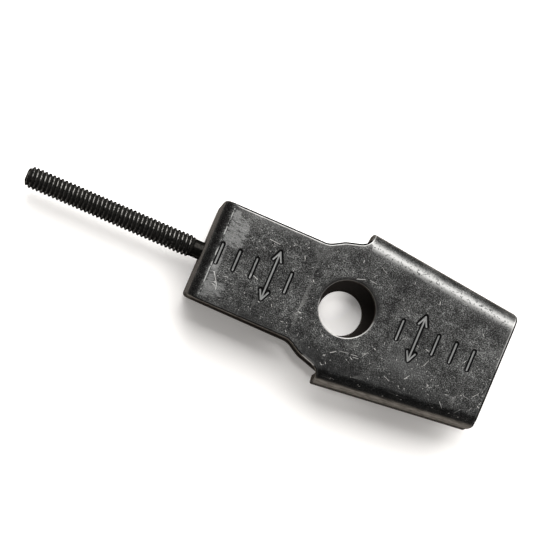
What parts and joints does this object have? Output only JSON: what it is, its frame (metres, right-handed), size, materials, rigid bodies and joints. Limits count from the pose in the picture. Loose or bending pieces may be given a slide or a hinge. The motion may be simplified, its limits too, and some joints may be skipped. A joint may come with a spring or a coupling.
{
  "type": "motorcycle chain adjuster",
  "caption": "Folded steel chain adjuster for a motorcycle rear axle, with stamped index marks, an axle hole and a long threaded bolt.",
  "frame": {"origin": "on the axle's axis, at the back face of the rear plate", "axes": "+Z out of the marked front plate, +X from the axle towards the open mouth, so the bolt points along -X"},
  "size_m": [0.1359, 0.0434, 0.018],
  "materials": {
    "body": "satin",
    "bolt": "gloss"
  },
  "bodies": {
    "root": {"adjuster_body": "body", "adjuster_bolt": "bolt"}
  },
  "joints": []
}
